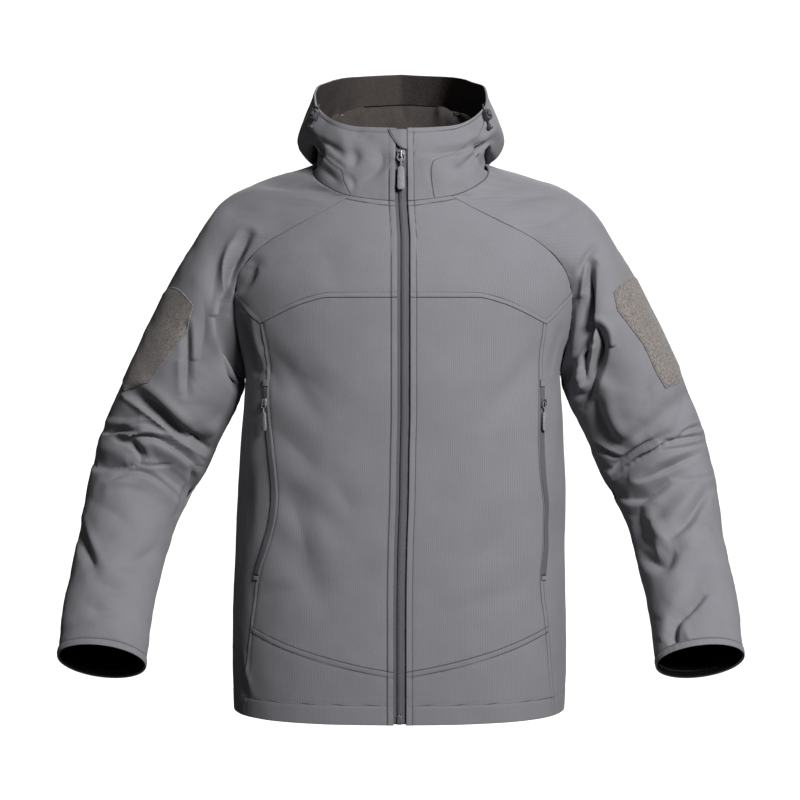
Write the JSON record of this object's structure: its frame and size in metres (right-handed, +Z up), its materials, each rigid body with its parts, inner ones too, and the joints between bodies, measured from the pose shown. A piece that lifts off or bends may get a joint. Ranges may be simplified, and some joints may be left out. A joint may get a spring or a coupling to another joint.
{
  "type": "softshell jacket",
  "caption": "Hooded softshell jacket, zipped up and filled out as if worn, with raglan sleeves, a dropped hood, zipped hand pockets, loop panels on the arms and a drawcord at the hood.",
  "frame": {"origin": "on the wearer's axis at the height of the shoulder line beside the neck", "axes": "+Z up along the wearer's axis, the jacket's front faces -Y, +X to the viewer's right, which is the wearer's left"},
  "size_m": [0.8532, 0.3561, 0.8397],
  "materials": {
    "softshell": "matt woven face with fine upright ribs, bonded to fleece",
    "loop": "looped pile of a hook-and-loop panel",
    "zip_tape": "woven zip tape with a nylon coil",
    "pull_rubber": "matt moulded",
    "zip_metal": "dull cast zinc",
    "lock_plastic": "moulded",
    "cord": "braided"
  },
  "bodies": {
    "garment": {"yoke_left": "softshell", "yoke_right": "softshell", "front_left": "softshell", "front_right": "softshell", "hem_panel_left": "softshell", "hem_panel_right": "softshell", "side_left": "softshell", "side_right": "softshell", "back": "softshell", "sleeve_front_left": "softshell", "sleeve_front_right": "softshell", "sleeve_back_left": "softshell", "sleeve_back_right": "softshell", "cuff_left": "softshell", "cuff_right": "softshell", "collar_left": "softshell", "collar_right": "softshell", "hood_side_left": "softshell", "hood_side_right": "softshell", "hood_crown": "softshell", "loop_panel_left": "loop", "loop_panel_right": "loop", "zip_tape_left": "zip_tape", "zip_tape_right": "zip_tape", "zip_chain": "zip_tape", "front_slider": "zip_metal", "zip_box": "zip_metal", "zip_garage": "softshell", "pocket_zip_left": "zip_tape", "pocket_zip_right": "zip_tape", "pocket_garage_left": "softshell", "pocket_garage_right": "softshell", "pocket_stop_left": "softshell", "pocket_stop_right": "softshell", "pocket_slider_left": "zip_metal", "pocket_slider_right": "zip_metal", "cord_lock_left": "lock_plastic", "cord_lock_right": "lock_plastic", "cord_end_left": "cord", "cord_end_right": "cord", "cord_feed_left": "cord", "cord_feed_right": "cord"},
    "front_pull": {"front_pull": "pull_rubber"},
    "pocket_pull_left": {"pocket_pull_left": "pull_rubber"},
    "pocket_pull_right": {"pocket_pull_right": "pull_rubber"},
    "cord_button_left": {"cord_button_left": "lock_plastic"},
    "cord_button_right": {"cord_button_right": "lock_plastic"}
  },
  "joints": [
    {"name": "front_pull_swing", "type": "hinge", "parent": "garment", "child": "front_pull", "pos_m": [0.00022, -0.10083, -0.00158], "axis": [-1, 0, 0], "range_deg": [0, 140]},
    {"name": "pocket_pull_left_swing", "type": "hinge", "parent": "garment", "child": "pocket_pull_left", "pos_m": [0.18098, -0.08847, -0.31117], "axis": [-0.6981, -0.7118, 0.0771], "range_deg": [0, 140]},
    {"name": "pocket_pull_right_swing", "type": "hinge", "parent": "garment", "child": "pocket_pull_right", "pos_m": [-0.17246, -0.09099, -0.31118], "axis": [-0.7173, 0.6892, -0.1022], "range_deg": [0, 140]},
    {"name": "cord_button_left_press", "type": "slide", "parent": "garment", "child": "cord_button_left", "axis": [-0.5697, 0.706, -0.4207], "range_m": [0, 0.002], "stiffness_N_per_m": 300, "springref_m": -0.001},
    {"name": "cord_button_right_press", "type": "slide", "parent": "garment", "child": "cord_button_right", "axis": [0.571, 0.7058, -0.4193], "range_m": [0, 0.002], "stiffness_N_per_m": 300, "springref_m": -0.001}
  ]
}
